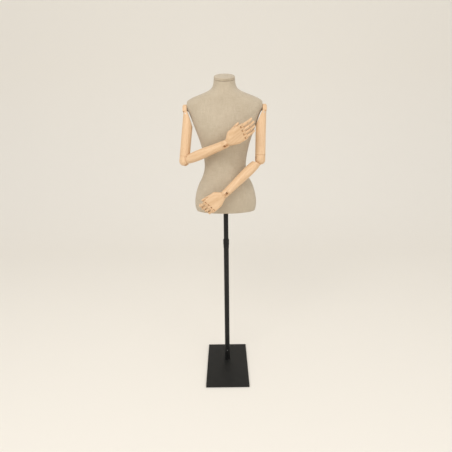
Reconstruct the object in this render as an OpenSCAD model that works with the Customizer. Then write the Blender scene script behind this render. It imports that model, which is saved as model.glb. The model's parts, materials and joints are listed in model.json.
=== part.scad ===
// Dress form mannequin: a linen-covered torso on a black telescopic stand, with jointed wooden arms.
// Millimetres, +Z up, the front of the torso faces -Y. The origin lies on the pole's axis at floor level.
// "left" and "right" are the mannequin's own sides, so left is +X.

/* [Base] */
// Base plate width, side to side
plate_width = 255; // [220:5:320]
// Base plate length, front to back
plate_length = 398; // [340:2:460]
// Base plate thickness
plate_thickness = 6; // [4:0.5:10]
// Distance from the plate's centre back to the pole's axis
plate_forward = 49; // [0:1:90]
// Thickness of the sheet under the plate
pad_thickness = 1.5; // [1:0.5:4]
// Top of the socket that holds the pole
socket_top = 100; // [60:1:140]

/* [Pole] */
// Outer diameter of the lower tube
lower_tube_d = 30; // [26:0.5:38]
// Outer diameter of the upper tube
upper_tube_d = 27.3; // [23.3:0.1:35.3]
// Wall of the upper tube
tube_wall = 1.5; // [1:0.1:2.5]
// Height of the lower tube's top end
lower_tube_top = 797; // [700:1:900]
// Length of the upper tube
upper_tube_length = 760; // [600:10:900]
// Diameter of the clamp nut
nut_d = 34.5; // [32:0.5:45]

/* [Torso] */
// Height of the torso's flat underside
torso_bottom = 1011; // [900:2:1100]
// Thickness of the rigid shell
shell_wall = 6; // [4:0.5:10]
// Thickness of the stretched linen cover
linen_thickness = 1.5; // [1:0.1:3]
// Forward tilt of the neck's top
neck_tilt = 21; // [0:1:30]
// Diameter of the neck cap
cap_d = 108; // [90:1:130]
// Thickness of the neck cap
cap_thickness = 15; // [8:1:25]

/* [Arms] */
// Height of the shoulders' turning axis
shoulder_height = 1560; // [1500:1:1620]
// Distance from the middle plane to the inner face of a shoulder disc
shoulder_reach = 198.3; // [180:0.1:220]
// Upper arm diameter
arm_d = 54; // [46:1:62]
// From the shoulder hinge to the elbow hinge
upper_arm_length = 243; // [220:1:280]
// From the elbow hinge to the wrist hinge
forearm_length = 268; // [240:1:300]
// Wrist diameter
wrist_d = 41; // [36:1:48]

/* [Hands] */
// From the wrist hinge to the knuckle pin
palm_length = 107; // [85:1:115]
// Slant of the knuckle pin across the hand
knuckle_slant = 8; // [0:1:14]
// Spacing of the fingers
finger_pitch = 20; // [18:0.5:22]
// Finger diameter at the knuckle
finger_d = 16; // [14:0.5:18]

/* [Pose] */
// Left arm: shoulder turn, shoulder raise, elbow turn, elbow bend, wrist turn, wrist bend
left_pose = [13, -1.5, -73, 46, -83.5, 19.5];
// Right arm: the same six angles
right_pose = [9, 6.5, -58.5, 111, -42.5, 27.5];
// Left fingers: knuckle bend, middle joint bend
left_curl = [35, 55];
// Right fingers: knuckle bend, middle joint bend
right_curl = [12, 20];
// Left thumb: root bend, middle joint bend
left_thumb = [3, 8];
// Right thumb: root bend, middle joint bend
right_thumb = [24, 20];

/* [Hidden] */
$fn = 64;

linen = [0.80, 0.74, 0.65];
wood = [0.93, 0.79, 0.61];
black = [0.13, 0.12, 0.12];
steel = [0.70, 0.70, 0.72];
rubber = [0.10, 0.10, 0.10];
shell_grey = [0.62, 0.60, 0.56];
board_tan = [0.70, 0.58, 0.42];

LEFT = 1;
RIGHT = -1;
joint_gap = 0.3;        // between wooden faces that turn against each other
seam_bevel = 1.2;       // on the wooden rims at the seams where an arm turns
running = 0.05;         // radial clearance of a pin or tube that turns or slides
through = 1;            // how far a cutter runs past the face that it opens
far = 100;              // reach of a cutter that passes right through the piece it cuts
floor_gap = 0.6;        // between a tongue's rim and the floor of its slot

// Stand
plate_bottom = pad_thickness;
plate_top = plate_bottom + plate_thickness;
pad_inset = 2;
plate_corner = 3;
bolt_d = 10;
bolt_head_d = 19;
bolt_head_h = 4;
bolt_reach = 16;        // how far the bolt stands above the plate
socket_d = 34;
socket_floor = plate_top + 20;
socket_screw_z = 82;
socket_screw_d = 6;
screw_key_d = 3.4;
screw_key_depth = 1;
screw_slack = 0.05;
lower_bore_d = upper_tube_d + 2 * running;
collar_h = 19;
collar_d = 32.4;
collar_lip = 3;
spigot_d = 31;
spigot_h = 12;
collet_h = 10;
collet_inset = 0.5;
nut_bottom = lower_tube_top + collar_lip + joint_gap;
nut_h = 33;
nut_lip = 6;
nut_edge = 1.2;
groove_depth = 0.8;
groove_h = 1.6;
groove_at = [0.3, 0.5, 0.7];    // the grooves' places, as fractions of the nut's height
upper_tube_top = 1110;
cap_plug_h = 18;
cap_head_h = 3;

// Torso stations: height above the underside, half width, front depth, back depth
STATIONS = [
    [0, 165, 94, 107],
    [18, 170.5, 98, 114],
    [50, 172.5, 100, 118],
    [90, 167, 101, 119],
    [125, 158, 99, 111],
    [155, 146, 95, 101],
    [185, 130, 90, 90],
    [220, 117.5, 84, 79],
    [255, 113.2, 82, 75],
    [295, 116.5, 86, 79],
    [335, 124, 94, 86],
    [375, 134, 105, 93],
    [410, 146, 111, 99],
    [445, 158.5, 109, 103],
    [480, 171.5, 100, 104],
    [510, 182.5, 91, 101],
    [533, 193, 83, 95],
    [553, 203, 76, 88],
    [573, 204, 70, 79],
    [587, 194, 66, 73],
    [601, 171, 64, 69],
    [613, 141, 61, 65],
    [625, 108, 59, 62],
    [637, 81, 57, 60],
    [650, 65, 56, 58],
    [670, 57, 55, 55.5],
    [691, 54.6, 54.6, 54.6]
];
TORSO_H = STATIONS[len(STATIONS) - 1][0];
shoulder_flat = 197.5;  // the shoulders' sides are cut off flat here
tilt_start = 565;       // the rings lie level up to here, then tilt forward up to the neck's top
around = 40;            // points in a ring
ring_spacing = 25;      // two stations further apart than this get a ring halfway between them
RINGS = [for (i = [0 : len(STATIONS) - 1])
    let (h = STATIONS[i][0], next = i < len(STATIONS) - 1 ? STATIONS[i + 1][0] : h)
    each (next - h > ring_spacing ? [h, (h + next) / 2] : [h])];
core_inset = linen_thickness + 0.2;
cavity_inset = core_inset + shell_wall;
neck_plate = 8;         // thickness of the shell across the neck's top
board_h = 12;
board_lift = 2;
board_inset = cavity_inset + 1.5;       // the board lies loose inside the shell
sleeve_d = 34;
sleeve_top = torso_bottom + 115;
flange_d = 96;
flange_h = 4;
flange_screw_r = 34;
flange_screw_d = 4.2;
flange_screw_reach = 9;
flange_screw_head_d = 8;
flange_screw_head_h = 2.6;
cap_edge = 3;
cap_dowel_d = 12;
cap_dowel_h = 20;

// Shoulder
plate_d = 28;
plate_h = 2.5;
hub_d = 18;
hub_h = 22;
turn_pin_d = 10;
turn_pin_head_d = 15;
turn_pin_head_h = 2.5;
disc_d = 40;
disc_w = 22;
disc_edge = 5;          // bevel round the shoulder disc's outer face
hinge_out = 7.2;        // from the disc's inner face out to the shoulder hinge
hinge_drop = 29;        // from the turning axis down to the shoulder hinge
arm_offset = 13.5;      // the arm's own axis lies this far inside its shoulder hinge
cheek_r = 13.5;
shoulder_tongue = 14;
shoulder_tongue_r = 11;
shoulder_pin_d = 6;
raise_max = 78;
pin_sink = 1;           // how far a pin's end lies below the wood
dowel_sink = 0.3;       // the same for the wooden dowels at the elbow and the wrist
inner_slant = 24;       // slope of the upper arm's inner face, which clears the torso
inner_slant_start = [-10.3, 0, 7];
spigot_room = 2;        // free length past a spigot's end in its bore

// Elbow
elbow_r = arm_d / 2;
elbow_top = 23;
elbow_tongue = 18;
elbow_tongue_r = 15;
elbow_pin_d = 8;
elbow_max = 113;
elbow_relief_inset = 0.1;
elbow_spigot_d = 16;
elbow_spigot_h = 30;

// Wrist
wrist_r = wrist_d / 2;
wrist_top = 13.5;
wrist_tongue = 13;
wrist_tongue_r = 9.2;
wrist_pin_d = 5;
wrist_spigot_d = 12;
wrist_spigot_h = 24;

// Forearm stations: distance from the elbow hinge, radius
FOREARM = [[0, 15.5], [16, 19.5], [40, 24], [80, 26.6], [130, 26], [190, 23], [254.2, 20.5]];

// Fingers
FINGERS = [
    // side offset in pitches, length of the base, length of the tip
    [1.5, 38, 32],
    [0.5, 41, 34],
    [-0.5, 38, 32],
    [-1.5, 32, 26]
];
THUMB = [0, 40, 32];
thumb_root = [34, -10, -48];
thumb_splay = 11;
thumb_roll = -20;
thumb_room = 0.8;       // clearance round the thumb where it lies in the palm
thumb_pin_l = 18;
// Rounded masses that the palm is carved from: centre, radius, stretch along x, y and z
PALM_MASSES = [
    [[0, 0, -16], 19, [1.05, 0.8, 1]],
    [[27, -5, -49], 18, [1, 0.85, 1.1]],
    [[-26, 0, -62], 15, [1, 0.8, 1.3]]
];
palm_fn = 32;
palm_start = 5;         // the palm's own shoulders start this far below the wrist hinge
wrist_neck = 6;
knuckle_back = 14;      // the back of the hand is at its thickest this far behind the knuckle pin
knuckle_r = 10;
knuckle_slot_h = finger_d / 2 + 1;
knuckle_slot = 12;
knuckle_tongue = 11.4;
knuckle_pin_d = 3.2;
knuckle_max = 84;
middle_taper = 0.9;     // finger diameter at the middle joint, over that at the knuckle
tip_taper = 0.78;
middle_slot = 6.4;
middle_tongue = 5.8;
middle_pin_d = 2.6;
middle_max = 86;
digit_reach = 24;

// ---------- curves ----------

// Slope of column k at row i, from its neighbours
function slope(t, i, k) =
    let (a = max(i - 1, 0), b = min(i + 1, len(t) - 1))
    (t[b][k] - t[a][k]) / (t[b][0] - t[a][0]);

// Row below x
function row_of(t, x, i = 0) = (i >= len(t) - 2 || x < t[i + 1][0]) ? i : row_of(t, x, i + 1);

// Smooth curve through column k
function curve(t, x, k) =
    let (i = row_of(t, x), h = t[i + 1][0] - t[i][0], u = (x - t[i][0]) / h)
    (1 + 2 * u) * (1 - u) ^ 2 * t[i][k] + u * (1 - u) ^ 2 * h * slope(t, i, k)
    + u ^ 2 * (3 - 2 * u) * t[i + 1][k] + u ^ 2 * (u - 1) * h * slope(t, i + 1, k);

function tilt_at(h) = neck_tilt * pow(max(0, (h - tilt_start) / (TORSO_H - tilt_start)), 1.5);

// A point on the torso's outer surface, at height h and angle a
function skin(h, a) =
    let (
        w = curve(STATIONS, h, 1),
        d = sin(a) < 0 ? curve(STATIONS, h, 2) : curve(STATIONS, h, 3),
        x = max(-shoulder_flat, min(shoulder_flat, w * cos(a))),
        y = d * sin(a)
    )
    [x, y, torso_bottom + h + y * tan(tilt_at(h))];

function unit(v) = v / norm(v);

// Outward direction; at the two ends it stays in the plane of the end
function outward(h, a) =
    let (
        e = 0.5,
        lo = max(0, h - e),
        hi = min(TORSO_H, h + e),
        n = unit(cross(skin(h, a + e) - skin(h, a - e), skin(hi, a) - skin(lo, a))),
        m = h <= 0 ? [0, 0, 1] : [0, -sin(neck_tilt), cos(neck_tilt)]
    )
    (h <= 0 || h >= TORSO_H) ? unit(n - (n * m) * m) : n;

function ring(h, inset) = [for (j = [0 : around - 1])
    let (a = (j + 0.5) * 360 / around)
    skin(h, a) - inset * outward(h, a)];

function side_faces(rings, from, flip) = [
    for (i = [0 : rings - 2], j = [0 : around - 1])
        let (
            a = from + i * around + j,
            b = from + i * around + (j + 1) % around,
            c = b + around,
            d = a + around
        )
        each (flip ? [[a, b, c], [a, c, d]] : [[a, c, b], [a, d, c]])
];

// ---------- shared shapes ----------

module sided(side) {
    if (side == LEFT) {
        children();
    } else {
        mirror([1, 0, 0]) children();
    }
}

module x_cylinder(r, h) {
    rotate([0, 90, 0]) cylinder(r = r, h = h, center = true);
}

module y_cylinder(r, h) {
    rotate([90, 0, 0]) cylinder(r = r, h = h, center = true);
}

// The end of a limb: a ball about the hinge for z below 0, and a bevelled cylinder above it
module hinge_end(r, width) {
    steps = 10;
    ball = [for (i = [0 : steps]) let (t = 90 * i / steps) [r * sin(t), -r * cos(t)]];
    rotate_extrude() polygon(concat(ball, [[r, width - seam_bevel], [r - seam_bevel, width], [0, width]]));
}

// What the limb above sweeps through, beside the tongue, as the limb below bends up to bend.
// inset draws its flat sides in from the round part, so that a curved limb is not cut along a tangent.
module shoulder_relief(r, tongue, bend, reach, inset = 0) {
    difference() {
        union() {
            x_cylinder(r, 2 * reach);
            rotate([bend, 0, 0]) translate([-reach, inset - r, 0]) cube([2 * reach, 2 * (r - inset), reach]);
        }
        cube([tongue, 4 * reach, 4 * reach], center = true);
    }
}

// ---------- stand ----------

// A flat plate on z = 0 with upright corners rounded to r
module rounded_plate(w, l, h, r) {
    translate([0, 0, h / 2]) {
        cube([w - 2 * r, l, h], center = true);
        cube([w, l - 2 * r, h], center = true);
        for (x = [-1, 1], y = [-1, 1]) translate([x * (w / 2 - r), y * (l / 2 - r), 0])
            cylinder(r = r, h = h, center = true);
    }
}

module base_plate() {
    color(black) translate([0, 0, plate_bottom]) difference() {
        translate([0, -plate_forward, 0])
            rounded_plate(plate_width, plate_length, plate_thickness, plate_corner);
        translate([0, 0, -through]) cylinder(d = bolt_d, h = plate_thickness + 2 * through);
        cylinder(d1 = bolt_head_d, d2 = bolt_d, h = bolt_head_h);
    }
}

// Soft sheet glued under the plate, so that the stand does not mark the floor
module base_pad() {
    color(rubber) translate([0, -plate_forward, 0])
        rounded_plate(plate_width - 2 * pad_inset, plate_length - 2 * pad_inset, pad_thickness, plate_corner);
}

module base_bolt() {
    color(steel) translate([0, 0, plate_bottom]) {
        cylinder(d1 = bolt_head_d, d2 = bolt_d, h = bolt_head_h);
        translate([0, 0, bolt_head_h]) cylinder(d = bolt_d, h = plate_thickness - bolt_head_h + bolt_reach);
    }
}

module base_socket() {
    color(black) difference() {
        translate([0, 0, plate_top]) cylinder(d = socket_d, h = socket_top - plate_top);
        translate([0, 0, socket_floor]) cylinder(d = lower_tube_d, h = socket_top);
        translate([0, 0, plate_top - through])
            cylinder(d = bolt_d, h = socket_floor - plate_top + 2 * through);
        translate([0, -socket_d / 2, socket_screw_z])
            y_cylinder(socket_screw_d / 2, 2 * (socket_d - lower_tube_d));
    }
}

module socket_screw() {
    screw_l = (socket_d - lower_tube_d) / 2 - 2 * screw_slack;
    color(steel) translate([0, -(lower_tube_d + screw_l) / 2 - screw_slack, socket_screw_z]) difference() {
        y_cylinder(socket_screw_d / 2, screw_l);
        translate([0, -screw_l / 2, 0]) rotate([90, 0, 0])
            cylinder(d = screw_key_d, h = 2 * screw_key_depth, center = true, $fn = 6);
    }
}

module lower_tube() {
    color(black) translate([0, 0, socket_floor]) difference() {
        cylinder(d = lower_tube_d, h = lower_tube_top - socket_floor);
        translate([0, 0, -through]) cylinder(d = lower_bore_d, h = lower_tube_top);
    }
}

module collar_base() {
    color(black) difference() {
        union() {
            translate([0, 0, lower_tube_top + collar_lip - collar_h]) cylinder(d = collar_d, h = collar_h);
            translate([0, 0, lower_tube_top]) cylinder(d = spigot_d, h = collar_lip + spigot_h);
        }
        translate([0, 0, lower_tube_top - collar_h]) cylinder(d = lower_tube_d, h = collar_h);
        cylinder(d = lower_bore_d, h = lower_tube_top + far);
    }
}

module collet() {
    color(rubber) translate([0, 0, lower_tube_top + collar_lip + spigot_h]) difference() {
        cylinder(d = spigot_d - 2 * collet_inset, h = collet_h);
        translate([0, 0, -through]) cylinder(d = lower_bore_d, h = collet_h + 2 * through);
    }
}

module clamp_nut() {
    color(black) translate([0, 0, nut_bottom]) difference() {
        union() {
            cylinder(d1 = nut_d - 2 * nut_edge, d2 = nut_d, h = nut_edge);
            translate([0, 0, nut_edge]) cylinder(d = nut_d, h = nut_h - 2 * nut_edge);
            translate([0, 0, nut_h - nut_edge]) cylinder(d1 = nut_d, d2 = nut_d - 2 * nut_edge, h = nut_edge);
        }
        translate([0, 0, -through])
            cylinder(d = spigot_d + 2 * running, h = nut_h - nut_lip + through);
        cylinder(d = upper_tube_d + 2 * floor_gap, h = nut_h + through);
        for (z = groove_at) translate([0, 0, z * nut_h - groove_h / 2]) difference() {
            cylinder(d = nut_d + 2 * through, h = groove_h);
            translate([0, 0, -through]) cylinder(d = nut_d - 2 * groove_depth, h = groove_h + 2 * through);
        }
    }
}

module upper_tube() {
    color(black) translate([0, 0, upper_tube_top - upper_tube_length]) difference() {
        cylinder(d = upper_tube_d, h = upper_tube_length);
        translate([0, 0, -through])
            cylinder(d = upper_tube_d - 2 * tube_wall, h = upper_tube_length + 2 * through);
    }
}

module tube_cap() {
    color(rubber) {
        translate([0, 0, upper_tube_top]) cylinder(d = upper_tube_d - joint_gap, h = cap_head_h);
        translate([0, 0, upper_tube_top - cap_plug_h])
            cylinder(d = upper_tube_d - 2 * tube_wall, h = cap_plug_h);
    }
}

// ---------- torso ----------

// Rigid shell: closed across the neck, open at the bottom
module shell_body() {
    n = len(RINGS);
    outer = [for (h = RINGS) each ring(h, core_inset)];
    cavity = [for (i = [0 : n - 1]) each [for (p = ring(RINGS[i], cavity_inset))
        i == n - 1 ? p - neck_plate * [0, -sin(neck_tilt), cos(neck_tilt)] : p]];
    in0 = n * around;
    last = (n - 1) * around;
    polyhedron(
        points = concat(outer, cavity),
        faces = concat(
            side_faces(n, 0, false),
            side_faces(n - 1, in0, true),
            [for (j = [0 : around - 1]) let (k = (j + 1) % around, i = in0 + last - around)
                each [[i + j, i + k, in0 + last + k], [i + j, in0 + last + k, in0 + last + j]]],
            [[for (j = [around - 1 : -1 : 0]) last + j]],
            [[for (j = [0 : around - 1]) in0 + last + j]],
            [for (j = [0 : around - 1]) let (k = (j + 1) % around)
                each [[j, k, in0 + k], [j, in0 + k, in0 + j]]]
        )
    );
}

module torso_core() {
    color(shell_grey) difference() {
        shell_body();
        for (side = [LEFT, RIGHT]) sided(side) translate([shoulder_flat, 0, shoulder_height]) {
            x_cylinder(plate_d / 2, 2 * (core_inset + plate_h));
            x_cylinder(hub_d / 2, 2 * hub_h);
        }
        at_neck_top() cylinder(d = cap_dowel_d, h = 4 * cap_dowel_h, center = true);
    }
}

// Stretched linen over the whole shell, open at the neck's top and at the underside
module linen_cover() {
    n = len(RINGS);
    in0 = n * around;
    last = (n - 1) * around;
    color(linen) difference() {
        polyhedron(
            points = [for (inset = [0, linen_thickness], h = RINGS) each ring(h, inset)],
            faces = concat(
                side_faces(n, 0, false),
                side_faces(n, in0, true),
                [for (j = [0 : around - 1]) let (k = (j + 1) % around)
                    each [[j, k, in0 + k], [j, in0 + k, in0 + j]]],
                [for (j = [0 : around - 1]) let (k = (j + 1) % around)
                    each [[last + j, in0 + last + k, last + k], [last + j, in0 + last + j, in0 + last + k]]]
            )
        );
        for (side = [LEFT, RIGHT]) sided(side) translate([shoulder_flat, 0, shoulder_height])
            x_cylinder(plate_d / 2 + joint_gap, 4 * (core_inset + plate_h));
    }
}

module bottom_board() {
    outline = [for (p = ring(0, board_inset)) [p[0], p[1]]];
    color(board_tan) translate([0, 0, torso_bottom + board_lift]) difference() {
        linear_extrude(board_h) polygon(outline);
        translate([0, 0, -through]) cylinder(d = sleeve_d, h = board_h + 2 * through);
        for (q = [0 : 3]) rotate(q * 90 + 45) translate([flange_screw_r, 0, board_h - flange_screw_reach])
            cylinder(d = flange_screw_d, h = board_h);
    }
}

module pole_flange() {
    board_top = torso_bottom + board_lift + board_h;
    sleeve_bore_top = upper_tube_top + cap_head_h + joint_gap;
    color(steel) difference() {
        union() {
            translate([0, 0, torso_bottom + board_lift])
                cylinder(d = sleeve_d, h = sleeve_top - torso_bottom - board_lift);
            translate([0, 0, board_top]) cylinder(d = flange_d, h = flange_h);
        }
        translate([0, 0, torso_bottom - through])
            cylinder(d = upper_tube_d + 2 * running, h = sleeve_bore_top - torso_bottom + through);
        for (q = [0 : 3]) rotate(q * 90 + 45) translate([flange_screw_r, 0, board_top - through])
            cylinder(d = flange_screw_d, h = flange_h + 2 * through);
    }
}

module flange_screws() {
    board_top = torso_bottom + board_lift + board_h;
    color(steel) for (q = [0 : 3]) rotate(q * 90 + 45) translate([flange_screw_r, 0, 0]) {
        translate([0, 0, board_top - flange_screw_reach])
            cylinder(d = flange_screw_d, h = flange_screw_reach + flange_h);
        translate([0, 0, board_top + flange_h]) cylinder(d = flange_screw_head_d, h = flange_screw_head_h);
    }
}

module at_neck_top() {
    translate([0, 0, torso_bottom + TORSO_H]) rotate([neck_tilt, 0, 0]) children();
}

module neck_cap() {
    color(linen) at_neck_top() {
        translate([0, 0, joint_gap]) cylinder(d = cap_d, h = cap_thickness - cap_edge);
        translate([0, 0, joint_gap + cap_thickness - cap_edge])
            cylinder(d1 = cap_d, d2 = cap_d - 2 * cap_edge, h = cap_edge);
        translate([0, 0, -cap_dowel_h]) cylinder(d = cap_dowel_d, h = cap_dowel_h + joint_gap);
    }
}

// ---------- arm frames: each is the frame of one moving piece, at its joint ----------

function pose_of(side) = side == LEFT ? left_pose : right_pose;
function curl_of(side) = side == LEFT ? left_curl : right_curl;
function thumb_of(side) = side == LEFT ? left_thumb : right_thumb;

module at_disc(side) {
    sided(side) translate([shoulder_reach, 0, shoulder_height]) rotate([-pose_of(side)[0], 0, 0]) children();
}

module at_upper_arm(side) {
    at_disc(side) translate([hinge_out, 0, -hinge_drop]) rotate([0, -pose_of(side)[1], 0]) children();
}

module at_elbow(side) {
    at_upper_arm(side) translate([-arm_offset, 0, 0]) rotate([0, 0, pose_of(side)[2]])
        translate([0, 0, -upper_arm_length]) children();
}

module at_forearm(side) {
    at_elbow(side) rotate([-pose_of(side)[3], 0, 0]) children();
}

module at_wrist(side) {
    at_forearm(side) rotate([0, 0, pose_of(side)[4]]) translate([0, 0, -forearm_length]) children();
}

module at_palm(side) {
    at_wrist(side) rotate([-pose_of(side)[5], 0, 0]) children();
}

module at_knuckles(side) {
    at_palm(side) knuckle_frame() children();
}

module knuckle_frame() {
    translate([0, 0, -palm_length]) rotate([0, knuckle_slant, 0]) children();
}

module thumb_frame() {
    translate(thumb_root) rotate([0, -thumb_splay, 0]) rotate([0, 0, thumb_roll]) children();
}

module at_finger(side, f) {
    at_knuckles(side) translate([FINGERS[f][0] * finger_pitch, 0, 0]) rotate([-curl_of(side)[0], 0, 0])
        children();
}

module at_thumb(side) {
    at_palm(side) thumb_frame() rotate([-thumb_of(side)[0], 0, 0]) children();
}

module past_middle(digit, bend) {
    translate([0, 0, -digit[1]]) rotate([-bend, 0, 0]) children();
}

// ---------- arms ----------

module shoulder_plate(side) {
    color(steel) sided(side) translate([shoulder_flat, 0, shoulder_height]) difference() {
        union() {
            translate([-core_inset - plate_h / 2, 0, 0]) x_cylinder(plate_d / 2, plate_h);
            translate([-core_inset - hub_h / 2, 0, 0]) x_cylinder(hub_d / 2, hub_h);
        }
        x_cylinder(turn_pin_d / 2 + running, 4 * hub_h);
    }
}

// What the upper arm sweeps through as it is raised: its cheeks beside the tongue, its slot's floor below
module arm_sweep() {
    difference() {
        union() {
            y_cylinder(cheek_r + joint_gap, 2 * far);
            rotate([0, -raise_max, 0]) translate([-cheek_r, -far, -far])
                cube([2 * cheek_r + joint_gap, 2 * far, far]);
            translate([-far, -far, -far]) cube([2 * far, 2 * far, far]);
        }
        cube([2 * far, shoulder_tongue, 2 * far], center = true);
    }
    rotate([0, -raise_max, 0]) translate([-far, -far, -far - shoulder_tongue_r])
        cube([2 * far, 2 * far, far]);
}

// Wooden shoulder piece: a disc that turns on the plate, with the tongue of the shoulder hinge below it
module shoulder_disc(side) {
    color(wood) at_disc(side) difference() {
        union() {
            difference() {
                union() {
                    translate([(disc_w - disc_edge) / 2, 0, 0]) x_cylinder(disc_d / 2, disc_w - disc_edge);
                    translate([disc_w - disc_edge, 0, 0]) rotate([0, 90, 0])
                        cylinder(d1 = disc_d, d2 = disc_d - 2 * disc_edge, h = disc_edge);
                    translate([0, -disc_d / 2, -hinge_drop]) cube([disc_w, disc_d, hinge_drop]);
                }
                translate([hinge_out, 0, -hinge_drop]) arm_sweep();
            }
            translate([hinge_out, 0, -hinge_drop]) y_cylinder(shoulder_tongue_r, shoulder_tongue);
        }
        x_cylinder(turn_pin_d / 2, 4 * disc_w);
        translate([hinge_out, 0, -hinge_drop]) y_cylinder(shoulder_pin_d / 2, 2 * disc_d);
    }
}

// Two pins held in the shoulder piece: the one that it turns on and the one that the arm is raised on
module shoulder_pins(side) {
    inner = shoulder_flat - shoulder_reach - core_inset - hub_h - joint_gap;
    outer = disc_w - pin_sink;
    cheek_span = 2 * sqrt(pow(arm_d / 2, 2) - pow(arm_offset, 2));
    color(steel) at_disc(side) {
        translate([(inner + outer) / 2, 0, 0]) x_cylinder(turn_pin_d / 2, outer - inner);
        translate([inner - turn_pin_head_h / 2, 0, 0]) x_cylinder(turn_pin_head_d / 2, turn_pin_head_h);
        translate([hinge_out, 0, -hinge_drop]) y_cylinder(shoulder_pin_d / 2, cheek_span - 2 * pin_sink);
    }
}

module upper_arm(side) {
    seam = upper_arm_length - elbow_top - joint_gap;
    color(wood) at_upper_arm(side) difference() {
        intersection() {
            translate([-arm_offset, 0, -seam]) {
                cylinder(d1 = arm_d - 2 * seam_bevel, d2 = arm_d, h = seam_bevel);
                translate([0, 0, seam_bevel]) cylinder(d = arm_d, h = seam + 2 * cheek_r);
            }
            union() {
                y_cylinder(cheek_r, 2 * arm_d);
                translate([-arm_d, -arm_d, -seam]) cube([2 * arm_d, 2 * arm_d, seam]);
            }
        }
        translate(inner_slant_start) rotate([0, inner_slant, 0])
            translate([-2 * far, -far, -2 * far]) cube([2 * far, 2 * far, 4 * far]);
        translate([-far, -shoulder_tongue / 2 - joint_gap, -shoulder_tongue_r - floor_gap])
            cube([2 * far, shoulder_tongue + 2 * joint_gap, far]);
        y_cylinder(shoulder_pin_d / 2 + running, 2 * arm_d);
        translate([-arm_offset, 0, -seam - through])
            cylinder(d = elbow_spigot_d + 2 * running, h = elbow_spigot_h + spigot_room);
    }
}

module elbow_block(side) {
    color(wood) at_elbow(side) difference() {
        union() {
            hinge_end(elbow_r, elbow_top);
            cylinder(d = elbow_spigot_d, h = elbow_top + elbow_spigot_h);
        }
        translate([-elbow_tongue / 2 - joint_gap, -2 * elbow_r, -2 * elbow_r])
            cube([elbow_tongue + 2 * joint_gap, 4 * elbow_r, 2 * (elbow_r + floor_gap) + elbow_tongue_r]);
        x_cylinder(elbow_pin_d / 2, 4 * elbow_r);
    }
}

module elbow_pin(side) {
    color(board_tan) at_elbow(side) x_cylinder(elbow_pin_d / 2, 2 * (elbow_r - dowel_sink));
}

module forearm(side) {
    seam = forearm_length - wrist_top - joint_gap;
    steps = 16;
    rim = seam - seam_bevel;
    outline = [for (i = [0 : steps]) let (t = rim * pow(i / steps, 1.3)) [curve(FOREARM, t, 1), -t]];
    foot = [[outline[steps][0] - seam_bevel, -seam], [0, -seam]];
    color(wood) at_forearm(side) difference() {
        union() {
            x_cylinder(elbow_tongue_r, elbow_tongue);
            rotate_extrude() polygon(concat([[0, 0]], outline, foot));
        }
        shoulder_relief(elbow_r + floor_gap, elbow_tongue, elbow_max, far, elbow_relief_inset);
        rotate([elbow_max, 0, 0]) translate([-far, -elbow_r - floor_gap, elbow_tongue_r + floor_gap / 2])
            cube([2 * far, 2 * (elbow_r + floor_gap), far]);
        x_cylinder(elbow_pin_d / 2 + running, 4 * elbow_r);
        translate([0, 0, -seam - through])
            cylinder(d = wrist_spigot_d + 2 * running, h = wrist_spigot_h + spigot_room);
    }
}

module wrist_block(side) {
    color(wood) at_wrist(side) difference() {
        union() {
            hinge_end(wrist_r, wrist_top);
            cylinder(d = wrist_spigot_d, h = wrist_top + wrist_spigot_h);
        }
        translate([-wrist_tongue / 2 - joint_gap, -2 * wrist_r, -2 * wrist_r])
            cube([wrist_tongue + 2 * joint_gap, 4 * wrist_r, 2 * wrist_r + wrist_tongue_r + floor_gap]);
        x_cylinder(wrist_pin_d / 2, 4 * wrist_r);
    }
}

module wrist_pin(side) {
    color(board_tan) at_wrist(side) x_cylinder(wrist_pin_d / 2, 2 * (wrist_r - dowel_sink));
}

// ---------- hands ----------

// Carved palm: narrow at the wrist, wide across the thumb's root and the knuckles
module palm_body() {
    hull() {
        for (m = PALM_MASSES) translate(m[0]) scale(m[2]) sphere(r = m[1], $fn = palm_fn);
        knuckle_frame() {
            translate([0, 0, knuckle_back]) x_cylinder(knuckle_r + 2, 4 * finger_pitch + 1, $fn = palm_fn);
            x_cylinder(knuckle_r, 4 * finger_pitch - 2, $fn = palm_fn);
        }
    }
}

module palm(side) {
    neck = wrist_r + wrist_neck;
    color(wood) at_palm(side) difference() {
        union() {
            difference() {
                palm_body();
                wrist_room(wrist_r + floor_gap);
                translate([-far, -far, -palm_start]) cube([2 * far, 2 * far, far]);
            }
            x_cylinder(wrist_tongue_r, wrist_tongue);
            translate([-wrist_tongue / 2, -wrist_tongue_r, -neck])
                cube([wrist_tongue, 2 * wrist_tongue_r, neck]);
        }
        x_cylinder(wrist_pin_d / 2 + running, 4 * wrist_r);
        knuckle_frame() {
            x_cylinder(knuckle_pin_d / 2, 6 * finger_pitch);
            for (f = FINGERS) translate([f[0] * finger_pitch - knuckle_slot / 2, -far, -far])
                cube([knuckle_slot, 2 * far, far + knuckle_slot_h]);
        }
        thumb_frame() {
            thumb_bed();
            x_cylinder(knuckle_pin_d / 2, 4 * finger_pitch);
        }
    }
}

// Room in the palm for the wrist block: a ball at the back of the hand, a whole cylinder on the palm's side
module wrist_room(r) {
    difference() {
        union() {
            sphere(r);
            intersection() {
                x_cylinder(r, 2 * far);
                translate([-far, -2 * r, -2 * r]) cube([2 * far, 2 * r, 4 * r]);
            }
        }
        cube([wrist_tongue, 4 * r, 4 * r], center = true);
    }
}

// Room in the palm for the thumb: its slot at the pin, and the bed that it lies in and swings out of
module thumb_bed() {
    r = finger_d / 2 + thumb_room;
    translate([-knuckle_slot / 2, -far, -far])
        cube([knuckle_slot, far + knuckle_slot_h, far + knuckle_slot_h]);
    difference() {
        union() {
            translate([0, 0, -far]) cylinder(r = r, h = far);
            translate([-r, -far, -far]) cube([2 * r, far, far + thumb_room]);
        }
        x_cylinder(knuckle_r, 4 * r);
    }
}

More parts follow.
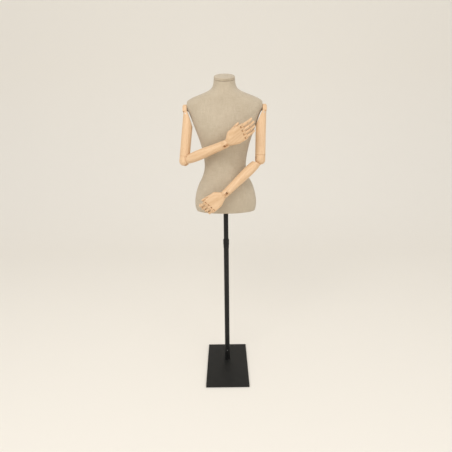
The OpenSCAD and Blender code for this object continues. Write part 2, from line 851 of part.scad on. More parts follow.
module knuckle_pins(side) {
    color(steel) at_palm(side) {
        knuckle_frame() x_cylinder(knuckle_pin_d / 2, 4 * (finger_pitch - pin_sink));
        thumb_frame() x_cylinder(knuckle_pin_d / 2, thumb_pin_l);
    }
}

module digit_base(digit) {
    r0 = finger_d / 2;
    r1 = r0 * middle_taper;
    l = digit[1];
    color(wood) difference() {
        union() {
            x_cylinder(r0, knuckle_tongue);
            intersection() {
                translate([0, 0, -l - 2 * r1]) cylinder(r1 = r1, r2 = r0, h = l + 2 * r1);
                union() {
                    translate([0, 0, -l]) x_cylinder(r1, 4 * r0);
                    translate([-2 * r0, -2 * r0, -l]) cube([4 * r0, 4 * r0, l]);
                }
            }
        }
        shoulder_relief(knuckle_r + joint_gap, knuckle_tongue, knuckle_max, digit_reach);
        x_cylinder(knuckle_pin_d / 2 + running, 4 * finger_d);
        translate([0, 0, -l]) {
            difference() {
                translate([-middle_slot / 2, -finger_d, -finger_d])
                    cube([middle_slot, 2 * finger_d, finger_d + r1 + joint_gap]);
                x_cylinder(middle_pin_d / 2, 2 * finger_d);
            }
        }
    }
}

module digit_tip(digit) {
    r0 = finger_d / 2 * middle_taper;
    r1 = finger_d / 2 * tip_taper;
    l = digit[2];
    color(wood) difference() {
        union() {
            x_cylinder(r0 - joint_gap, middle_tongue);
            translate([0, 0, r1 - l]) cylinder(r1 = r1, r2 = r0 - joint_gap, h = l - r1);
            translate([0, 0, r1 - l]) sphere(r = r1);
        }
        shoulder_relief(r0 + joint_gap, middle_tongue, middle_max, digit_reach);
        x_cylinder(middle_pin_d / 2 + running, 4 * finger_d);
    }
}

module finger_base(side, f) {
    at_finger(side, f) digit_base(FINGERS[f]);
}

module finger_tip(side, f) {
    at_finger(side, f) past_middle(FINGERS[f], curl_of(side)[1]) digit_tip(FINGERS[f]);
}

module thumb_base(side) {
    at_thumb(side) digit_base(THUMB);
}

module thumb_tip(side) {
    at_thumb(side) past_middle(THUMB, thumb_of(side)[1]) digit_tip(THUMB);
}

// ---------- nodes ----------

base_plate();
base_pad();
base_bolt();
base_socket();
socket_screw();
lower_tube();
collar_base();
collet();
clamp_nut();
upper_tube();
tube_cap();
torso_core();
linen_cover();
bottom_board();
pole_flange();
flange_screws();
neck_cap();
shoulder_plate(LEFT);  // left_shoulder_plate
shoulder_plate(RIGHT);  // right_shoulder_plate
shoulder_disc(LEFT);  // left_shoulder_disc
shoulder_pins(LEFT);  // left_shoulder_pins
upper_arm(LEFT);  // left_upper_arm
elbow_block(LEFT);  // left_elbow_block
elbow_pin(LEFT);  // left_elbow_pin
forearm(LEFT);  // left_forearm
wrist_block(LEFT);  // left_wrist_block
wrist_pin(LEFT);  // left_wrist_pin
palm(LEFT);  // left_palm
knuckle_pins(LEFT);  // left_knuckle_pins
shoulder_disc(RIGHT);  // right_shoulder_disc
shoulder_pins(RIGHT);  // right_shoulder_pins
upper_arm(RIGHT);  // right_upper_arm
elbow_block(RIGHT);  // right_elbow_block
elbow_pin(RIGHT);  // right_elbow_pin
forearm(RIGHT);  // right_forearm
wrist_block(RIGHT);  // right_wrist_block
wrist_pin(RIGHT);  // right_wrist_pin
palm(RIGHT);  // right_palm
knuckle_pins(RIGHT);  // right_knuckle_pins
thumb_base(LEFT);  // left_thumb_base
finger_base(LEFT, 0);  // left_index_base
finger_base(LEFT, 1);  // left_middle_base
finger_base(LEFT, 2);  // left_ring_base
finger_base(LEFT, 3);  // left_little_base
thumb_tip(LEFT);  // left_thumb_tip
finger_tip(LEFT, 0);  // left_index_tip
finger_tip(LEFT, 1);  // left_middle_tip
finger_tip(LEFT, 2);  // left_ring_tip
finger_tip(LEFT, 3);  // left_little_tip
thumb_base(RIGHT);  // right_thumb_base
finger_base(RIGHT, 0);  // right_index_base
finger_base(RIGHT, 1);  // right_middle_base
finger_base(RIGHT, 2);  // right_ring_base
finger_base(RIGHT, 3);  // right_little_base
thumb_tip(RIGHT);  // right_thumb_tip
finger_tip(RIGHT, 0);  // right_index_tip
finger_tip(RIGHT, 1);  // right_middle_tip
finger_tip(RIGHT, 2);  // right_ring_tip
finger_tip(RIGHT, 3);  // right_little_tip
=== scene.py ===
"""Looks for the dress form mannequin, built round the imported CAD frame.

Lengths are in metres, or in millimetres where a comment says so. The pole is at X = Y = 0.
"""

import json
import math

import bmesh
import bpy
import numpy as np
from mathutils import Matrix, Vector, noise


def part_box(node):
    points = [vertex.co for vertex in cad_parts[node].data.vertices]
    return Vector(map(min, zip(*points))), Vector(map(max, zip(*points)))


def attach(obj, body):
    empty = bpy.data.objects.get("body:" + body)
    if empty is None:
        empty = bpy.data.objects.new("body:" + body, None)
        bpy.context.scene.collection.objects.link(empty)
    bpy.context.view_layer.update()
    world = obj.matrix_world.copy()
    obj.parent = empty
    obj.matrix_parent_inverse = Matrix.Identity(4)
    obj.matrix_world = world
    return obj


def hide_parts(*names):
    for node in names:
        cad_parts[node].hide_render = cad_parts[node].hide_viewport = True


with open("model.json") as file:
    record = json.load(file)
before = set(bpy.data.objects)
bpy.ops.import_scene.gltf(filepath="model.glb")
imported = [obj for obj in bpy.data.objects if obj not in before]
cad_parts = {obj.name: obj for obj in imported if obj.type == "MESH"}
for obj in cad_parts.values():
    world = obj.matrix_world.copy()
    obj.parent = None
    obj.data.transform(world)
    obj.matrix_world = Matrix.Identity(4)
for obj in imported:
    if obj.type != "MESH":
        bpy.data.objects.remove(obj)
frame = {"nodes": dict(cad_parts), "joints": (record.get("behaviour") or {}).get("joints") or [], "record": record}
NODES = frame["nodes"]
JOINTS = {j["name"]: j for j in frame["joints"]}
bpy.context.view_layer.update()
MM = 0.001
SIDES = ("left", "right")
DIGITS = ("thumb", "index", "middle", "ring", "little")


# ---------- camera, light, floor ----------

CAMERA_HEIGHT = 1.446
CAMERA_DISTANCE = 1.845
CAMERA_DOWN = math.radians(16.1)
CAMERA_ROLL = math.radians(-0.65)
LENS = 26.3  # in millimetres, as SENSOR_WIDTH is
SENSOR_WIDTH = 36
FAR_CLIP = 60


def make_camera():
    cam = bpy.data.objects.new("camera", bpy.data.cameras.new("camera"))
    bpy.context.scene.collection.objects.link(cam)
    cam.data.lens = LENS
    cam.data.sensor_width = SENSOR_WIDTH
    cam.data.clip_end = FAR_CLIP
    look = Matrix.Rotation(math.pi / 2 - CAMERA_DOWN, 4, "X")
    cam.matrix_world = (
        Matrix.Translation((0, -CAMERA_DISTANCE, CAMERA_HEIGHT)) @ look @ Matrix.Rotation(CAMERA_ROLL, 4, "Z")
    )
    bpy.context.scene.camera = cam


def soft_light(name, place, aim, size, power, color):
    light = bpy.data.lights.new(name, "AREA")
    light.shape = "RECTANGLE"
    light.size, light.size_y = size
    light.energy = power
    light.color = color
    o = bpy.data.objects.new(name, light)
    bpy.context.scene.collection.objects.link(o)
    o.location = place
    o.rotation_euler = (Vector(aim) - Vector(place)).to_track_quat("-Z", "Y").to_euler()


def make_studio():
    """A plain floor that curves up into a plain wall behind the object, and a pale world."""
    front_y, wall_y, bend, half, top = -12.0, 4.6, 2.6, 16.0, 12.0
    bend_steps = 32
    profile = [(front_y, 0.0), (wall_y - bend, 0.0)]
    for i in range(1, bend_steps + 1):
        a = i / bend_steps * math.pi / 2
        profile.append((wall_y - bend + bend * math.sin(a), bend - bend * math.cos(a)))
    profile.append((wall_y, top))
    verts = [(x, y, z) for x in (-half, half) for y, z in profile]
    n = len(profile)
    faces = [(i, i + n, i + n + 1, i + 1) for i in range(n - 1)]
    mesh = bpy.data.meshes.new("backdrop")
    mesh.from_pydata(verts, [], faces)
    mesh.polygons.foreach_set("use_smooth", [True] * len(faces))
    floor = bpy.data.objects.new("backdrop", mesh)
    bpy.context.scene.collection.objects.link(floor)
    mat, _, bsdf = new_material("backdrop")
    bsdf.inputs["Base Color"].default_value = (0.90, 0.865, 0.80, 1)
    bsdf.inputs["Roughness"].default_value = 0.85
    floor.data.materials.append(mat)
    world = bpy.data.worlds.new("world")
    bpy.context.scene.world = world
    world.use_nodes = True
    background = world.node_tree.nodes["Background"]
    background.inputs["Color"].default_value = (1.0, 0.985, 0.965, 1)
    background.inputs["Strength"].default_value = 0.82
    torso_middle = (0, 0, 1.2)
    soft_light("key", (-1.1, -2.4, 3.3), torso_middle, (2.2, 1.6), 39, (1.0, 0.97, 0.93))
    soft_light("fill", (2.0, -2.5, 2.6), torso_middle, (2.0, 2.0), 16, (1.0, 0.98, 0.95))
    bpy.context.scene.view_settings.view_transform = "Standard"


# ---------- node helpers ----------


def new_material(name):
    """A material with a node tree, and its Principled shader."""
    mat = bpy.data.materials.new(name)
    mat.use_nodes = True
    return mat, mat.node_tree, mat.node_tree.nodes["Principled BSDF"]


def add(nt, kind, settings=None, **links):
    """A node of that kind.

    links are sockets or plain values by input name, with _ for a space, or by place as i_0, i_1 and so on.
    """
    node = nt.nodes.new(kind)
    for key, value in (settings or {}).items():
        setattr(node, key, value)
    for key, value in links.items():
        socket = node.inputs[int(key[2:])] if key.startswith("i_") else node.inputs[key.replace("_", " ")]
        if isinstance(value, bpy.types.NodeSocket):
            nt.links.new(value, socket)
        else:
            socket.default_value = value
    return node


def maths(nt, op, a, b=0.0):
    node = add(nt, "ShaderNodeMath", {"operation": op}, i_0=a, i_1=b)
    return node.outputs[0]


def ramp(nt, factor, stops):
    """A colour ramp: stops are (place, (r, g, b))."""
    node = add(nt, "ShaderNodeValToRGB", Fac=factor)
    ends = node.color_ramp.elements
    while len(ends) < len(stops):
        ends.new(0.5)
    for e, (place, color) in zip(ends, stops):
        e.position = place
        e.color = (*color, 1)
    return node.outputs["Color"]


def mix_color(nt, factor, a, b, mode="MIX"):
    node = add(nt, "ShaderNodeMix", {"data_type": "RGBA", "blend_type": mode}, i_0=factor)
    for socket, value in ((node.inputs[6], a), (node.inputs[7], b)):
        if isinstance(value, bpy.types.NodeSocket):
            nt.links.new(value, socket)
        else:
            socket.default_value = (*value, 1)
    return node.outputs[2]


# ---------- materials ----------

THREAD = 1.15 * MM  # spacing of the linen's threads
THREAD_WANDER = 0.0016  # how far a thread strays from its straight line


def linen_material():
    """Plain-woven unbleached linen: two sets of threads with slubs, on UVs in metres."""
    mat, nt, bsdf = new_material("linen_weave")
    uv = add(nt, "ShaderNodeUVMap", {"uv_map": "cloth"}).outputs["UV"]
    xyz = add(nt, "ShaderNodeSeparateXYZ", Vector=uv)
    wander = add(nt, "ShaderNodeTexNoise", Vector=uv, Scale=60.0, Detail=2.0)
    shift = maths(nt, "MULTIPLY", maths(nt, "SUBTRACT", wander.outputs["Fac"], 0.5), THREAD_WANDER)
    u = maths(nt, "DIVIDE", maths(nt, "ADD", xyz.outputs["X"], shift), THREAD)
    v = maths(nt, "DIVIDE", maths(nt, "ADD", xyz.outputs["Y"], shift), THREAD)

    def thread_profile(t):
        """Height across one thread, 0 between threads and 1 on top."""
        return maths(nt, "ABSOLUTE", maths(nt, "SINE", maths(nt, "MULTIPLY", t, math.pi)))

    def over(t, s):
        """1 where the thread along s passes over, in a plain weave."""
        cell = maths(nt, "ADD", maths(nt, "FLOOR", t), maths(nt, "FLOOR", s))
        return maths(nt, "MODULO", maths(nt, "ABSOLUTE", cell), 2.0)

    warp = thread_profile(u)
    weft = thread_profile(v)
    up = over(u, v)
    down = maths(nt, "SUBTRACT", 1.0, up)
    weave = maths(nt, "ADD", maths(nt, "MULTIPLY", warp, up), maths(nt, "MULTIPLY", weft, down))
    crossing = maths(nt, "MULTIPLY", warp, weft)
    height = maths(nt, "ADD", maths(nt, "MULTIPLY", weave, 0.65), maths(nt, "MULTIPLY", crossing, 0.35))

    def slubs(stretch, scale):
        """Streaks along one set of threads, where the yarn is thicker or darker."""
        at = add(nt, "ShaderNodeMapping", Vector=uv, Scale=stretch)
        spots = add(nt, "ShaderNodeTexNoise", Vector=at.outputs["Vector"], Scale=scale, Detail=3.0)
        return spots.outputs["Fac"]

    warp_slub = slubs((700.0, 22.0, 1.0), 1.0)
    weft_slub = slubs((22.0, 700.0, 1.0), 1.0)
    broad = add(nt, "ShaderNodeTexNoise", Vector=uv, Scale=7.0, Detail=3.0).outputs["Fac"]
    dark, mid, pale = (0.440, 0.365, 0.270), (0.570, 0.490, 0.375), (0.675, 0.600, 0.480)
    weft_color = ramp(nt, weft_slub, [(0.30, dark), (0.52, mid), (0.72, pale)])
    warp_color = ramp(nt, warp_slub, [(0.30, dark), (0.50, mid), (0.72, pale)])
    yarn = mix_color(nt, up, weft_color, warp_color)
    # painted shade: the cloth's colour darkens towards the gaps between the threads, where the dips of the weave
    # lie in shade
    thread_gap_shade = ramp(nt, height, [(0.0, (0.62, 0.58, 0.52)), (0.45, (1.0, 1.0, 1.0))])
    cloth = mix_color(nt, 1.0, yarn, thread_gap_shade, "MULTIPLY")
    aged = ramp(nt, broad, [(0.30, (0.955, 0.945, 0.925)), (0.65, (1.03, 1.025, 1.02))])
    cloth = mix_color(nt, 1.0, cloth, aged, "MULTIPLY")
    nt.links.new(cloth, bsdf.inputs["Base Color"])
    rough = maths(nt, "SUBTRACT", 0.97, maths(nt, "MULTIPLY", height, 0.12))
    nt.links.new(rough, bsdf.inputs["Roughness"])
    bsdf.inputs["Specular IOR Level"].default_value = 0.22
    bsdf.inputs["Sheen Weight"].default_value = 0.18
    bsdf.inputs["Sheen Roughness"].default_value = 0.5
    relief = maths(nt, "ADD", height, maths(nt, "MULTIPLY", maths(nt, "ADD", warp_slub, weft_slub), 0.8))
    bump = add(nt, "ShaderNodeBump", Height=relief, Strength=0.55, Distance=0.0004)
    nt.links.new(bump.outputs["Normal"], bsdf.inputs["Normal"])
    return mat


def wood_material(name, axis, origin, seed):
    """Pale beech, sanded and lacquered. The grain runs along axis, so each piece has its own mapping."""
    mat, nt, bsdf = new_material(name)
    along = Vector(axis).normalized()
    turn = along.to_track_quat("Z", "Y").to_matrix().to_4x4()
    inverse = (Matrix.Translation(Vector(origin)) @ turn).inverted()
    coords = add(nt, "ShaderNodeTexCoord").outputs["Object"]
    shift = inverse.to_translation() + Vector((seed * 0.37, seed * 0.61, 0))
    local = add(nt, "ShaderNodeMapping", Vector=coords, Rotation=inverse.to_euler(), Location=shift)
    local = local.outputs["Vector"]
    long_grain = add(nt, "ShaderNodeMapping", Vector=local, Scale=(1.0, 1.0, 0.07)).outputs["Vector"]
    bend = add(nt, "ShaderNodeTexNoise", Vector=long_grain, Scale=14.0, Detail=2.0)
    bent = add(
        nt, "ShaderNodeVectorMath", {"operation": "MULTIPLY_ADD"},
        i_0=bend.outputs["Color"], i_1=(0.02, 0.02, 0.0), i_2=long_grain,
    ).outputs[0]
    rings = add(
        nt, "ShaderNodeTexWave", {"wave_type": "BANDS", "bands_direction": "X"},
        Vector=bent, Scale=42.0, Distortion=3.5, Detail=3.0, Detail_Scale=1.5,
    )
    fibre_at = add(nt, "ShaderNodeMapping", Vector=local, Scale=(1.0, 1.0, 0.035)).outputs["Vector"]
    fibre = add(nt, "ShaderNodeTexNoise", Vector=fibre_at, Scale=900.0, Detail=4.0).outputs["Fac"]
    fleck_at = add(nt, "ShaderNodeMapping", Vector=local, Scale=(1.0, 1.0, 0.22)).outputs["Vector"]
    fleck = add(nt, "ShaderNodeTexNoise", Vector=fleck_at, Scale=520.0, Detail=1.0).outputs["Fac"]
    tone = add(nt, "ShaderNodeTexNoise", Vector=long_grain, Scale=9.0, Detail=2.0).outputs["Fac"]
    early, mid, late = (0.750, 0.515, 0.310), (0.785, 0.550, 0.340), (0.815, 0.585, 0.375)
    base = ramp(nt, rings.outputs["Fac"], [(0.0, early), (0.55, mid), (1.0, late)])
    warm = ramp(nt, tone, [(0.30, (0.93, 0.90, 0.86)), (0.70, (1.04, 1.03, 1.02))])
    base = mix_color(nt, 1.0, base, warm, "MULTIPLY")
    lines = ramp(nt, fibre, [(0.36, (0.88, 0.84, 0.79)), (0.55, (1.0, 1.0, 1.0))])
    base = mix_color(nt, 0.8, base, lines, "MULTIPLY")
    flecks = ramp(nt, fleck, [(0.30, (0.80, 0.70, 0.60)), (0.37, (1.0, 1.0, 1.0))])
    base = mix_color(nt, 0.55, base, flecks, "MULTIPLY")
    edge_bevel = add(nt, "ShaderNodeBevel", {"samples": 4}, Radius=0.0012)
    nt.links.new(base, bsdf.inputs["Base Color"])
    rough = maths(nt, "ADD", 0.34, maths(nt, "MULTIPLY", fibre, 0.22))
    nt.links.new(rough, bsdf.inputs["Roughness"])
    bsdf.inputs["Specular IOR Level"].default_value = 0.42
    bsdf.inputs["Coat Weight"].default_value = 0.12
    bsdf.inputs["Coat Roughness"].default_value = 0.35
    relief = maths(nt, "ADD", fibre, maths(nt, "MULTIPLY", fleck, 0.5))
    smooth = edge_bevel.outputs["Normal"]
    bump = add(nt, "ShaderNodeBump", Height=relief, Strength=0.22, Distance=0.0002, Normal=smooth)
    nt.links.new(bump.outputs["Normal"], bsdf.inputs["Normal"])
    return mat


def black_material():
    """Satin black powder coat, with its fine orange-peel and a little dust."""
    mat, nt, bsdf = new_material("black_powder_coat")
    coords = add(nt, "ShaderNodeTexCoord").outputs["Object"]
    peel = add(nt, "ShaderNodeTexNoise", Vector=coords, Scale=1600.0, Detail=2.0).outputs["Fac"]
    dust = add(nt, "ShaderNodeTexNoise", Vector=coords, Scale=26.0, Detail=6.0).outputs["Fac"]
    color = ramp(nt, dust, [(0.35, (0.0060, 0.0062, 0.0058)), (0.75, (0.0125, 0.0125, 0.0118))])
    nt.links.new(color, bsdf.inputs["Base Color"])
    rough = maths(nt, "ADD", 0.36, maths(nt, "MULTIPLY", dust, 0.24))
    nt.links.new(rough, bsdf.inputs["Roughness"])
    bsdf.inputs["Specular IOR Level"].default_value = 0.28
    bevel = add(nt, "ShaderNodeBevel", {"samples": 4}, Radius=0.0008)
    smooth = bevel.outputs["Normal"]
    bump = add(nt, "ShaderNodeBump", Height=peel, Strength=0.25, Distance=0.00012, Normal=smooth)
    nt.links.new(bump.outputs["Normal"], bsdf.inputs["Normal"])
    return mat


def steel_material():
    """Zinc-plated steel with fine turning marks."""
    mat, nt, bsdf = new_material("zinc_steel")
    coords = add(nt, "ShaderNodeTexCoord").outputs["Object"]
    cloud = add(nt, "ShaderNodeTexNoise", Vector=coords, Scale=120.0, Detail=4.0).outputs["Fac"]
    marks = add(nt, "ShaderNodeTexNoise", Vector=coords, Scale=1400.0, Detail=2.0).outputs["Fac"]
    color = ramp(nt, cloud, [(0.3, (0.42, 0.42, 0.43)), (0.7, (0.60, 0.60, 0.61))])
    nt.links.new(color, bsdf.inputs["Base Color"])
    nt.links.new(maths(nt, "ADD", 0.26, maths(nt, "MULTIPLY", cloud, 0.25)), bsdf.inputs["Roughness"])
    bsdf.inputs["Metallic"].default_value = 1.0
    bump = add(nt, "ShaderNodeBump", Height=marks, Strength=0.2, Distance=0.0001)
    nt.links.new(bump.outputs["Normal"], bsdf.inputs["Normal"])
    return mat


def plain_material(name, dark, light, scale, roughness, bump_height):
    """Rubber, moulded shell and dowel end grain: mottled colour with a fine grain."""
    mat, nt, bsdf = new_material(name)
    coords = add(nt, "ShaderNodeTexCoord").outputs["Object"]
    grain = add(nt, "ShaderNodeTexNoise", Vector=coords, Scale=scale, Detail=6.0).outputs["Fac"]
    nt.links.new(ramp(nt, grain, [(0.32, dark), (0.68, light)]), bsdf.inputs["Base Color"])
    nt.links.new(maths(nt, "ADD", roughness, maths(nt, "MULTIPLY", grain, 0.15)), bsdf.inputs["Roughness"])
    bump = add(nt, "ShaderNodeBump", Height=grain, Strength=0.4, Distance=bump_height)
    nt.links.new(bump.outputs["Normal"], bsdf.inputs["Normal"])
    return mat


# ---------- the linen cover ----------

# Height above the underside, half width, front depth and back depth, as in the CAD torso, in millimetres.
# TORSO_H, SHOULDER_FLAT (from the middle out to the flat side) and TILT_START (a height) are in them too.
STATIONS = [
    (0, 165, 94, 107), (18, 170.5, 98, 114), (50, 172.5, 100, 118), (90, 167, 101, 119), (125, 158, 99, 111),
    (155, 146, 95, 101), (185, 130, 90, 90), (220, 117.5, 84, 79), (255, 113.2, 82, 75),
    (295, 116.5, 86, 79), (335, 124, 94, 86), (375, 134, 105, 93), (410, 146, 111, 99),
    (445, 158.5, 109, 103), (480, 171.5, 100, 104), (510, 182.5, 91, 101), (533, 193, 83, 95),
    (553, 203, 76, 88), (573, 204, 70, 79), (587, 194, 66, 73), (601, 171, 64, 69),
    (613, 141, 61, 65), (625, 108, 59, 62), (637, 81, 57, 60), (650, 65, 56, 58),
    (670, 57, 55, 55.5), (691, 54.6, 54.6, 54.6),
]
TORSO_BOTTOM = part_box("linen_cover")[0].z
TORSO_H = STATIONS[-1][0]
SHOULDER_FLAT = 197.5
SHOULDER_HEIGHT = JOINTS["left_shoulder_turn"]["pos_m"][2]
NECK_TILT = math.radians(21)
TILT_START = 565
PLATE_HOLE = 14.6 * MM  # radius of the cloth's hole at each shoulder plate
COVER_COLUMNS = 200
COVER_ROWS = 230
# The weave's start on each panel, in metres, so that no two panels show the same stretch of cloth
BACK_PANEL_START = 2.0
CAP_START = 5.0
# The neck's creases in mm: distance below the neck's top, depth, and how far the line leans
CREASES = ((7, 0.45, 1.5), (14, 0.55, -2.0), (22, 0.40, 2.5), (33, 0.25, -2.0))
# In mm: how far the cloth is drawn in at each shoulder, where the upper arm passes close, and its reach
DRAWN_IN, DRAWN_REACH = 0.9, 110


def station_slope(i, k):
    a, b = max(i - 1, 0), min(i + 1, len(STATIONS) - 1)
    return (STATIONS[b][k] - STATIONS[a][k]) / (STATIONS[b][0] - STATIONS[a][0])


def curve(x, k):
    """Smooth curve through column k of the stations."""
    i = max(j for j in range(len(STATIONS) - 1) if x >= STATIONS[j][0])
    h = STATIONS[i + 1][0] - STATIONS[i][0]
    u = (x - STATIONS[i][0]) / h
    return (
        (1 + 2 * u) * (1 - u) ** 2 * STATIONS[i][k]
        + u * (1 - u) ** 2 * h * station_slope(i, k)
        + u**2 * (3 - 2 * u) * STATIONS[i + 1][k]
        + u**2 * (u - 1) * h * station_slope(i + 1, k)
    )


def skin(h, a):
    """A point on the torso, in metres. h is the height above the underside, in mm, and a is the angle."""
    w = curve(h, 1)
    d = curve(h, 2) if math.sin(a) < 0 else curve(h, 3)
    x = max(-SHOULDER_FLAT, min(SHOULDER_FLAT, w * math.cos(a)))
    y = d * math.sin(a)
    tilt = NECK_TILT * max(0, (h - TILT_START) / (TORSO_H - TILT_START)) ** 1.5
    return Vector((x, y, h + y * math.tan(tilt))) * MM + Vector((0, 0, TORSO_BOTTOM))


def bell(x, width):
    return math.exp(-((x / width) ** 2))


def seam_relief(d):
    """Height in mm of a sewn seam, d mm from its line: a narrow groove between two soft ridges."""
    return -0.75 * bell(d, 0.75) + 0.30 * bell(abs(d) - 2.3, 1.3)


def cloth_relief(p, h, a):
    """How far the cloth stands out there, in mm: seams, the neck's creases, slight slackness."""
    x, y, z = p / MM
    out = 0.0
    for seam_a in (0, math.pi):
        if math.cos(a - seam_a) > 0.9:
            out += seam_relief(y)
    if math.sin(a) > 0.9:
        out += seam_relief(x)
    front = max(0.0, -math.sin(a)) ** 2
    for below, depth, lean in CREASES:
        line = TORSO_H - below + lean * math.sin(2.3 * a + below)
        out += depth * front * (bell(h - line, 2.0) - 0.8 * bell(h - line + 3.0, 2.2))
    for side in (-1, 1):
        reach = math.hypot(x - side * SHOULDER_FLAT, y * 0.8, z - SHOULDER_HEIGHT / MM)
        fan = math.atan2(z - SHOULDER_HEIGHT / MM, abs(y) + 20)
        out += 0.22 * bell(reach - 55, 42) * math.sin(fan * 9 + side)
        out -= DRAWN_IN * bell(reach, DRAWN_REACH)
    out += 0.55 * noise.noise(Vector((x, y, z)) / 75)
    out += 0.16 * noise.noise(Vector((x, y, z * 0.5)) / 16)
    return out


def column_angles(count):
    """Angles round the torso in radians, closer together beside the seams, from the left side seam on."""
    # all in degrees, until the last line
    beside = [0, 0.2, 0.4, 0.65, 0.95, 1.3, 1.75, 2.3, 3.0]
    seams = (0, 90, 180)
    clear_of_seam = 3.6
    angles = set()
    for seam_a in seams:
        angles.update(round((seam_a + s * b) % 360, 4) for b in beside for s in (-1, 1))
    for i in range(count):
        a = round(i * 360 / count, 4)
        if all(min((a - s) % 360, (s - a) % 360) > clear_of_seam for s in seams):
            angles.add(a)
    return [math.radians(a) for a in sorted(angles)]


def nearest_column(angles, a):
    return min(range(len(angles)), key=lambda j: abs(angles[j] - a))


def make_linen_cover():
    angles = column_angles(COVER_COLUMNS)
    n = len(angles)
    heights = [i * TORSO_H / COVER_ROWS for i in range(COVER_ROWS + 1)]
    grid = np.array([[skin(h, a) for a in angles] for h in heights])
    around = np.roll(grid, -1, axis=1) - np.roll(grid, 1, axis=1)
    upward = np.gradient(grid, axis=0)
    normal = np.cross(around, upward)
    normal /= np.linalg.norm(normal, axis=2, keepdims=True)
    for i, h in enumerate(heights):
        for j, a in enumerate(angles):
            grid[i, j] += normal[i, j] * cloth_relief(Vector(grid[i, j]), h, a) * MM
    # the cloth turns under the torso's edge and up inside it, and in over the neck's top: by how many mm
    # inward, and how many upward
    level = normal[0] * (1, 1, 0)
    level /= np.linalg.norm(level, axis=1, keepdims=True)
    hem = ((8.3, 9), (8.3, 2), (7.9, -0.1), (6.5, -0.8), (3.0, -1.0), (1.0, -0.9), (0.25, -0.45))
    under = [grid[0] - level * inward * MM + (0, 0, lift * MM) for inward, lift in hem]
    tilt_axis = np.array((0, -math.sin(NECK_TILT), math.cos(NECK_TILT)))
    inner = normal[-1] - (normal[-1] @ tilt_axis)[:, None] * tilt_axis
    inner /= np.linalg.norm(inner, axis=1, keepdims=True)
    rim = ((0.4, 0.12), (2.0, 0.2), (6.0, 0.2))
    over = [grid[-1] - inner * inward * MM + tilt_axis * lift * MM for inward, lift in rim]
    rows = np.array([*under, *grid, *over])
    verts = rows.reshape(-1, 3)
    faces = [
        (i * n + j, i * n + (j + 1) % n, (i + 1) * n + (j + 1) % n, (i + 1) * n + j)
        for i in range(len(rows) - 1) for j in range(n)
    ]
    # a hole at each shoulder plate: the faces inside it go, and the points left inside move out to its edge
    flat_x = (SHOULDER_FLAT - 3) * MM
    off_axis = np.hypot(verts[:, 1], verts[:, 2] - SHOULDER_HEIGHT)
    inside = (off_axis < PLATE_HOLE) & (np.abs(verts[:, 0]) > flat_x)
    faces = [f for f in faces if not all(inside[list(f)])]
    for k in {k for f in faces for k in f if inside[k]}:
        verts[k, 1] *= PLATE_HOLE / off_axis[k]
        verts[k, 2] = SHOULDER_HEIGHT + (verts[k, 2] - SHOULDER_HEIGHT) * PLATE_HOLE / off_axis[k]
    mesh = bpy.data.meshes.new("linen_cover_cloth")
    mesh.from_pydata([tuple(v) for v in verts], [], faces)
    # UVs in metres: along the row from the middle of the front or back panel, and up each column
    step = np.linalg.norm(np.roll(rows, -1, axis=1) - rows, axis=2)
    along = np.concatenate([np.zeros((len(rows), 1)), np.cumsum(step, axis=1)], axis=1)
    rise = np.linalg.norm(np.diff(rows, axis=0), axis=2)
    climb = np.concatenate([np.zeros((1, n)), np.cumsum(rise, axis=0)])
    half = nearest_column(angles, math.pi)
    middle = {True: nearest_column(angles, math.pi / 2), False: nearest_column(angles, 1.5 * math.pi)}
    uvs = mesh.uv_layers.new(name="cloth")
    loop = 0
    for f in faces:
        j0 = f[0] % n
        back = j0 < half
        for k in f:
            i, j = divmod(k, n)
            j_open = n if (j == 0 and j0 == n - 1) else j
            u = along[i, j_open] - along[i, middle[back]]
            uvs.data[loop].uv = (u + (BACK_PANEL_START if back else 0.0), climb[i, j])
            loop += 1
    mesh.polygons.foreach_set("use_smooth", [True] * len(faces))
    mesh.update()
    cover = bpy.data.objects.new("linen_cover_cloth", mesh)
    bpy.context.scene.collection.objects.link(cover)
    remove_loose(cover)
    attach(cover, "torso")
    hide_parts("linen_cover")
    return cover


def remove_loose(obj):
    bm = bmesh.new()
    bm.from_mesh(obj.data)
    bmesh.ops.delete(bm, geom=[v for v in bm.verts if not v.link_faces], context="VERTS")
    bm.to_mesh(obj.data)
    bm.free()


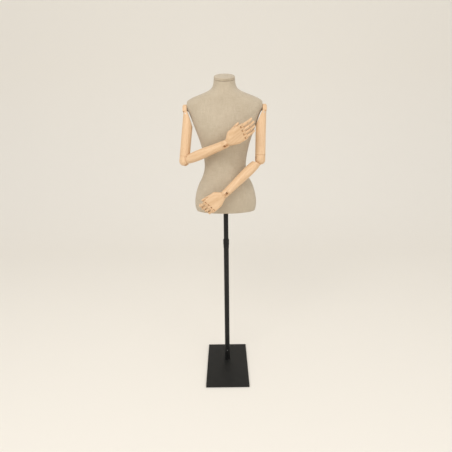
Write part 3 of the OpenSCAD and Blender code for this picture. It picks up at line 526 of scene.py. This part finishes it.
def make_neck_cap():
    """The cap's linen: one round piece pulled over a wooden disc and turned under it."""
    segments = 160
    centre = Vector((0, 0, TORSO_BOTTOM + TORSO_H * MM))
    turn = Matrix.Rotation(NECK_TILT, 3, "X")
    # radius and height in mm, from the middle of the top, over the edge, and in under the cap
    profile = [
        (0.0, 15.9), (12, 15.88), (24, 15.8), (36, 15.65), (44, 15.5), (48.5, 15.25), (50.5, 14.95),
        (52.2, 14.4), (53.4, 13.6), (54.1, 12.5), (54.35, 11.2), (54.4, 9.5), (54.35, 7.0), (54.4, 4.5),
        (54.3, 2.8), (54.0, 1.5), (53.3, 0.75), (52.0, 0.45), (49.0, 0.40), (45.0, 0.40),
    ]
    side_radius, top_height = 52, 15
    reach = [0.0]
    for (r0, z0), (r1, z1) in zip(profile, profile[1:]):
        reach.append(reach[-1] + math.hypot(r1 - r0, z1 - z0))
    verts, faces = [], []
    for k, (r, z) in enumerate(profile[1:], 1):
        for j in range(segments):
            a = j / segments * 2 * math.pi
            side = bell(z - 6, 6) if r > side_radius else 0.0
            gather = 0.16 * side * noise.noise(Vector((math.cos(a) * 9, math.sin(a) * 9, z / 30)))
            dip = 0.25 * noise.noise(Vector((math.cos(a) * r / 30, math.sin(a) * r / 30, 4.0)))
            out = r + gather
            p = Vector((out * math.cos(a), out * math.sin(a), z + (dip if z > top_height else 0.0))) * MM
            verts.append(tuple(centre + turn @ p))
    middle = len(verts)
    verts.append(tuple(centre + turn @ Vector((0, 0, profile[0][1] * MM))))
    for j in range(segments):
        faces.append((middle, j, (j + 1) % segments))
    for k in range(len(profile) - 2):
        for j in range(segments):
            a, b = k * segments + j, k * segments + (j + 1) % segments
            faces.append((a, a + segments, b + segments, b))
    mesh = bpy.data.meshes.new("neck_cap_cloth")
    mesh.from_pydata(verts, [], faces)
    uvs = mesh.uv_layers.new(name="cloth")
    loop = 0
    for f in faces:
        for k in f:
            if k == middle:
                uv = (0.0, 0.0)
            else:
                ring, j = divmod(k, segments)
                a = j / segments * 2 * math.pi
                uv = (reach[ring + 1] * MM * math.cos(a), reach[ring + 1] * MM * math.sin(a))
            uvs.data[loop].uv = (uv[0] + CAP_START, uv[1])
            loop += 1
    mesh.polygons.foreach_set("use_smooth", [True] * len(faces))
    mesh.update()
    cap = bpy.data.objects.new("neck_cap_cloth", mesh)
    bpy.context.scene.collection.objects.link(cap)
    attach(cap, "torso")
    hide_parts("neck_cap")
    return cap


# ---------- materials on the CAD nodes ----------


def joint_at(name):
    return Vector(JOINTS[name]["pos_m"])


def grain_axes():
    """The line along which each wooden node's grain runs: (start, end) by node."""
    lines = {}
    for side in SIDES:
        along_arm = ("shoulder_turn", "shoulder_raise", "elbow_bend", "wrist_bend")
        at = {k: joint_at(f"{side}_{k}") for k in along_arm}
        knuckles = [joint_at(f"{side}_{d}_bend") for d in DIGITS[1:]]
        knuckle_mid = sum(knuckles, Vector()) / len(knuckles)
        lines[f"{side}_shoulder_disc"] = (at["shoulder_turn"], at["shoulder_raise"])
        lines[f"{side}_upper_arm"] = (at["shoulder_raise"], at["elbow_bend"])
        lines[f"{side}_elbow_block"] = lines[f"{side}_upper_arm"]
        lines[f"{side}_forearm"] = (at["elbow_bend"], at["wrist_bend"])
        lines[f"{side}_wrist_block"] = lines[f"{side}_forearm"]
        lines[f"{side}_palm"] = (at["wrist_bend"], knuckle_mid)
        for d in DIGITS:
            root, mid = joint_at(f"{side}_{d}_bend"), joint_at(f"{side}_{d}_curl")
            low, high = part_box(f"{side}_{d}_tip")
            lines[f"{side}_{d}_base"] = (root, mid)
            lines[f"{side}_{d}_tip"] = (mid, (low + high) / 2)
    return lines


def paint(node, mat):
    obj = NODES[node]
    obj.data.materials.clear()
    obj.data.materials.append(mat)


def paint_nodes():
    slots = {r["node"]: r["material_slot"] for r in frame["record"]["subparts"]}
    shared = {
        "black_metal": black_material(),
        "steel": steel_material(),
        "rubber": plain_material("rubber", (0.012, 0.012, 0.012), (0.03, 0.029, 0.028), 220, 0.72, 0.0002),
        "shell": plain_material("moulded_shell", (0.36, 0.33, 0.29), (0.46, 0.43, 0.38), 60, 0.6, 0.0003),
        "linen": linen_material(),
    }
    lines = grain_axes()
    wood = {}
    for i, (node, (a, b)) in enumerate(sorted(lines.items())):
        wood[node] = wood_material("beech_" + node, b - a, a, i % 13)
    board = wood_material("bottom_board_wood", Vector((1, 0, 0)), Vector((0, 0, 1)), 5)
    dowel = plain_material("dowel_end_grain", (0.60, 0.41, 0.24), (0.74, 0.53, 0.33), 900, 0.5, 0.0002)
    for node in NODES:
        s = slots[node]
        if s == "beech_wood":
            paint(node, wood[node])
        elif s == "board":
            paint(node, board)
        elif s == "dowel_wood":
            paint(node, dowel)
        else:
            paint(node, shared[s])
    return shared


make_camera()
make_studio()
shared = paint_nodes()
for piece in (make_linen_cover(), make_neck_cap()):
    piece.data.materials.append(shared["linen"])
